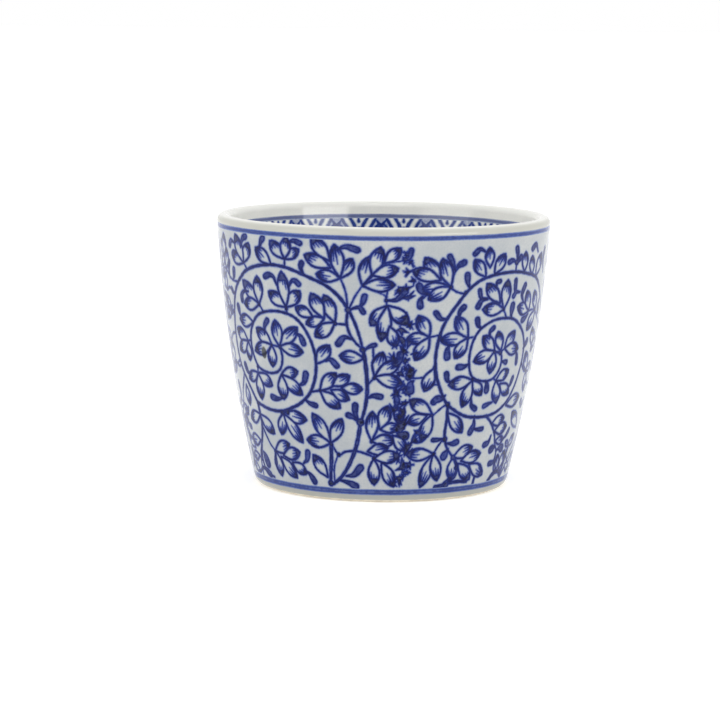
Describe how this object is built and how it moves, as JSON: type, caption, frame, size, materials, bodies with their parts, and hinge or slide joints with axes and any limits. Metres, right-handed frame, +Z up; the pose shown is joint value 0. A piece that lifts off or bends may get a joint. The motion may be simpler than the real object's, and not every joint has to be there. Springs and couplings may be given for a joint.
{
  "type": "teacup",
  "caption": "Straight-sided porcelain teacup with a turned foot and printed blue vine pattern under a clear glaze.",
  "frame": {"origin": "centre of the foot ring, on the plane the cup stands on", "axes": "+Z up the cup's axis towards the mouth, -Y towards the viewer"},
  "size_m": [0.08, 0.08, 0.065],
  "materials": {
    "bisque": "matte",
    "glaze": "gloss",
    "cobalt_line": "gloss",
    "cobalt_print": "gloss"
  },
  "bodies": {
    "root": {"porcelain_body": "bisque", "glaze_coat": "glaze", "foot_well_glaze": "glaze", "outer_rim_line": "cobalt_line", "outer_foot_line": "cobalt_line", "inner_rim_line": "cobalt_line", "inner_border_line": "cobalt_line", "outer_transfer_1": "cobalt_print", "outer_transfer_2": "cobalt_print", "outer_transfer_3": "cobalt_print", "outer_transfer_4": "cobalt_print", "inner_border_1": "cobalt_print", "inner_border_2": "cobalt_print"}
  },
  "joints": []
}
